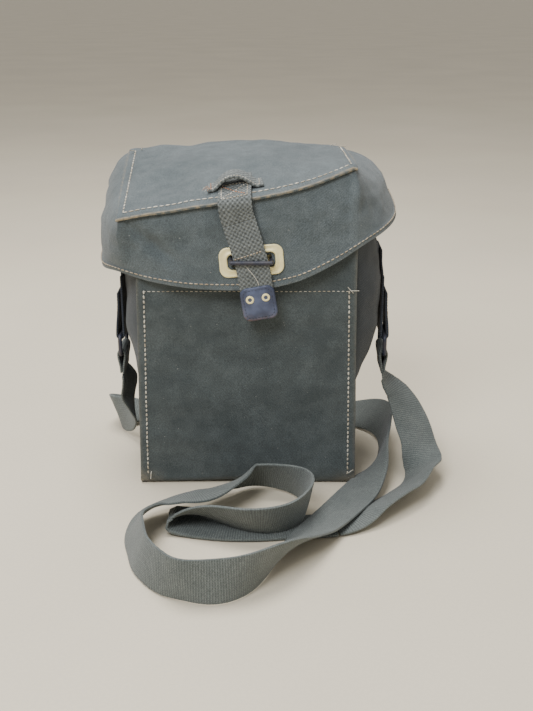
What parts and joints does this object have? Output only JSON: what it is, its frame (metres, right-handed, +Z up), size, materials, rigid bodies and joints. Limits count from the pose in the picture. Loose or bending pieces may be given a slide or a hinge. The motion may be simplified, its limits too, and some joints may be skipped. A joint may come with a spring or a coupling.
{
  "type": "canvas shoulder satchel",
  "caption": "Small upright canvas satchel with side gussets, a deep fold-over lid, a webbing closing strap that tucks under a staple, and a long shoulder strap.",
  "frame": {"origin": "middle of the surface the bag stands on, below the middle of the bag's box without its shoulder strap", "axes": "+Z up from the base to the lid, -Y out of the front where the closing strap is, +X towards the right side of someone who looks at the front"},
  "size_m": [0.2849, 0.3313, 0.2619],
  "materials": {
    "canvas": "matt coated cotton canvas, faded blue-grey",
    "webbing": "matt woven cotton webbing, faded grey-green",
    "brass_fittings": "satin, slightly tarnished",
    "dark_fittings": "semi-gloss dark blue-black",
    "tip_leather": "semi-gloss navy, worn brown at its lower corners"
  },
  "bodies": {
    "bag": {"front_panel": "canvas", "back_panel": "canvas", "base_panel": "canvas", "left_gusset": "canvas", "right_gusset": "canvas", "front_band": "webbing", "staple": "dark_fittings", "staple_washer": "brass_fittings", "staple_backing": "brass_fittings", "left_tab_root": "webbing", "right_tab_root": "webbing", "shoulder_strap": "webbing"},
    "lid": {"lid_top": "canvas", "lid_skirt": "canvas", "slot_plate": "brass_fittings", "slot_backplate": "brass_fittings", "strap_anchor": "webbing", "keeper_loop": "webbing"},
    "closing_strap": {"closing_strap": "webbing", "strap_tip": "tip_leather", "tip_eyelets": "brass_fittings"},
    "left_tab": {"left_tab": "webbing"},
    "right_tab": {"right_tab": "webbing"},
    "left_ring": {"left_ring": "dark_fittings", "left_strap_end": "webbing"},
    "right_ring": {"right_ring": "dark_fittings", "right_strap_end": "webbing"}
  },
  "joints": [
    {"name": "lid_fold", "type": "hinge", "parent": "bag", "child": "lid", "pos_m": [0, 0.0665, 0.258], "axis": [-1, 0, 0], "range_deg": [0, 225]},
    {"name": "closing_strap_bend", "type": "hinge", "parent": "lid", "child": "closing_strap", "pos_m": [-0.0043, -0.0557, 0.218], "axis": [-1, 0, 0], "range_deg": [0, 110]},
    {"name": "right_tab_bend", "type": "hinge", "parent": "bag", "child": "right_tab", "pos_m": [0.108, 0.0085, 0.163], "axis": [0, -1, 0], "range_deg": [0, 85]},
    {"name": "left_tab_bend", "type": "hinge", "parent": "bag", "child": "left_tab", "pos_m": [-0.1006, 0.0085, 0.163], "axis": [0, 1, 0], "range_deg": [0, 85]},
    {"name": "right_ring_swing", "type": "hinge", "parent": "right_tab", "child": "right_ring", "pos_m": [0.11158, 0.0085, 0.113], "axis": [0, -1, 0], "range_deg": [-10, 60]},
    {"name": "left_ring_swing", "type": "hinge", "parent": "left_tab", "child": "left_ring", "pos_m": [-0.10413, 0.0085, 0.113], "axis": [0, 1, 0], "range_deg": [-10, 60]}
  ]
}
